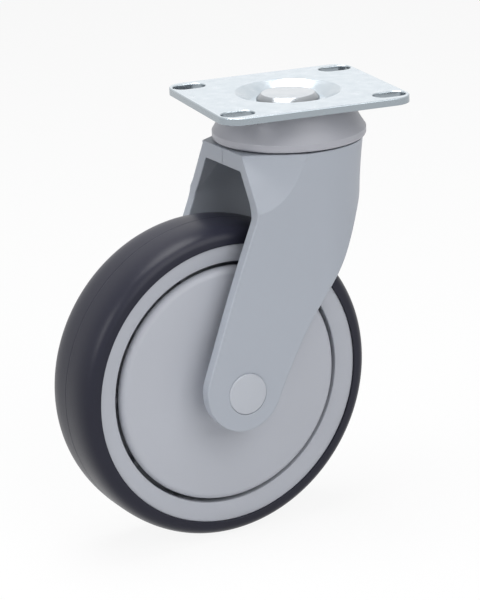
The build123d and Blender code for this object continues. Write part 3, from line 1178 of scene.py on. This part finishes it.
@dataclass
class Studio:
    """The floor, the lamps, the world and the camera.

    The camera looks from a direction in degrees, at a distance and with a shift to the side
    and up from the wheel's middle, in millimetres.
    """

    azimuth: float = -20.92
    elevation: float = 17.905
    roll: float = -2.193
    aside: float = 11.24
    above: float = 28.48
    distance: float = 954.66
    lens: float = 98.25
    sensor: float = 24.0
    nearest: float = 0.01
    floor_size: float = 6.0
    floor_gap: float = 0.0002
    floor_grey: float = 0.86
    floor_white: float = 0.9
    fill_colour: Colour = (0.96, 0.98, 1.0)
    fill_strength: float = 0.135
    lamp_aim: Spot = (-0.02, 0.0, -0.08)

    def build(self) -> None:
        """Set the stage, light it, and place the camera."""
        self.make_floor()
        self.make_world()
        self.make_lamps()
        self.make_camera()
        bpy.context.scene.view_settings.view_transform = "Standard"

    def make_floor(self) -> None:
        """A white floor that keeps the castor's soft shadow."""
        form = bmesh.new()
        bmesh.ops.create_grid(
            form,
            x_segments=1,
            y_segments=1,
            size=self.floor_size,
            matrix=Matrix.Translation((0, 0, FLOOR_HEIGHT - self.floor_gap)),
        )
        floor = linked_object(form, "studio_floor")
        material = bpy.data.materials.new("studio_floor")
        board = empty_board(material)
        output = board.add("OutputMaterial")
        matt = board.add("BsdfDiffuse", {"Color": (*[self.floor_grey] * 3, 1)})
        glow = board.add("Emission", {"Color": (1, 1, 1, 1), "Strength": 1.0})
        share = board.add("Math", {1: self.floor_white}, operation="MULTIPLY")
        mix = board.add("MixShader")
        board.link(seen_directly(board), share.inputs[0])
        board.link(share.outputs[0], mix.inputs["Fac"])
        board.link(matt.outputs["BSDF"], mix.inputs[1])
        board.link(glow.outputs["Emission"], mix.inputs[2])
        board.link(mix.outputs["Shader"], output.inputs["Surface"])
        floor.data.materials.append(material)

    def make_world(self) -> None:
        """White to the eye and in gloss, and a plain fill light on the castor."""
        world = bpy.data.worlds.new("studio")
        bpy.context.scene.world = world
        board = empty_board(world)
        output = board.add("OutputWorld")
        fill = board.add(
            "Background",
            {"Color": (*self.fill_colour, 1), "Strength": self.fill_strength},
        )
        white = board.add("Background", {"Color": (1, 1, 1, 1), "Strength": 1.0})
        mix = board.add("MixShader")
        board.link(seen_directly(board), mix.inputs["Fac"])
        board.link(fill.outputs["Background"], mix.inputs[1])
        board.link(white.outputs["Background"], mix.inputs[2])
        board.link(mix.outputs["Shader"], output.inputs["Surface"])

    def make_lamps(self) -> None:
        """Three large soft lamps, by place in metres, size in metres and power in watts."""
        for name, spot, size, power in (
            ("key", (0.22, -0.90, 0.66), 1.0, 8.1),
            ("side", (-0.95, -0.30, 0.42), 0.5, 3.3),
            ("top", (-0.1, 0.10, 1.0), 0.7, 9.6),
        ):
            light = bpy.data.lights.new(name, "AREA")
            light.shape = "SQUARE"
            light.size = size
            light.energy = power
            lamp = bpy.data.objects.new(name, light)
            bpy.context.scene.collection.objects.link(lamp)
            lamp.location = spot
            aim = Vector(self.lamp_aim) - Vector(spot)
            lamp.rotation_euler = aim.to_track_quat("-Z", "Y").to_euler()

    def make_camera(self) -> None:
        """The camera, at a long distance with a long lens."""
        azimuth, elevation, roll = map(math.radians, (self.azimuth, self.elevation, self.roll))
        back = Vector(
            (
                math.sin(azimuth) * math.cos(elevation),
                -math.cos(azimuth) * math.cos(elevation),
                math.sin(elevation),
            )
        )
        right = Vector((math.cos(azimuth), math.sin(azimuth), 0))
        up = back.cross(right)
        level = right * math.cos(roll) + up * math.sin(roll)
        upright = up * math.cos(roll) - right * math.sin(roll)
        shift = level * self.aside + upright * self.above + back * self.distance
        spot = wheel_centre() + shift * MM
        camera_data = bpy.data.cameras.new("camera")
        camera_data.sensor_fit = "VERTICAL"
        camera_data.sensor_height = self.sensor
        camera_data.lens = self.lens
        camera_data.clip_start = self.nearest
        camera = bpy.data.objects.new("camera", camera_data)
        bpy.context.scene.collection.objects.link(camera)
        axes = Matrix((level, upright, back)).transposed()
        camera.matrix_world = Matrix.Translation(spot) @ axes.to_4x4()
        bpy.context.scene.camera = camera


def dress_hidden(nodes: Solids, finishes: Materials) -> None:
    """Give each solid that stays its finish.

    Args:
        nodes: the solids by name.
        finishes: the materials by name.
    """
    for name, node in nodes.items():
        if "cage" in name:
            choice = "cap"
        elif "race" in name or "ball" in name or "bearing" in name:
            choice = "race"
        else:
            choice = "pin"
        node.data.materials.clear()
        node.data.materials.append(finishes[choice])


def main() -> None:
    """Build the castor, its finishes and the studio."""
    logging.basicConfig(level=logging.INFO)
    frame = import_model()
    nodes = frame["nodes"]
    groups = Groups()
    looks = {
        "fork": FORK_PLASTIC,
        "collar": COLLAR_PLASTIC,
        "wheel": WHEEL_PLASTIC,
        "cap": CAP_PLASTIC,
        "rubber": TYRE_RUBBER,
        "zinc": PLATE_ZINC,
        "pin": PIN_STEEL,
        "race": RACE_STEEL,
    }
    finishes = {name: look.make(groups) for name, look in looks.items()}
    dress_hidden(nodes, finishes)
    SwivelHead().build(nodes, finishes)
    ForkAssembly().build(nodes, finishes)
    Wheel().build(nodes, finishes)
    Studio().build()


if __name__ == "__main__":
    main()
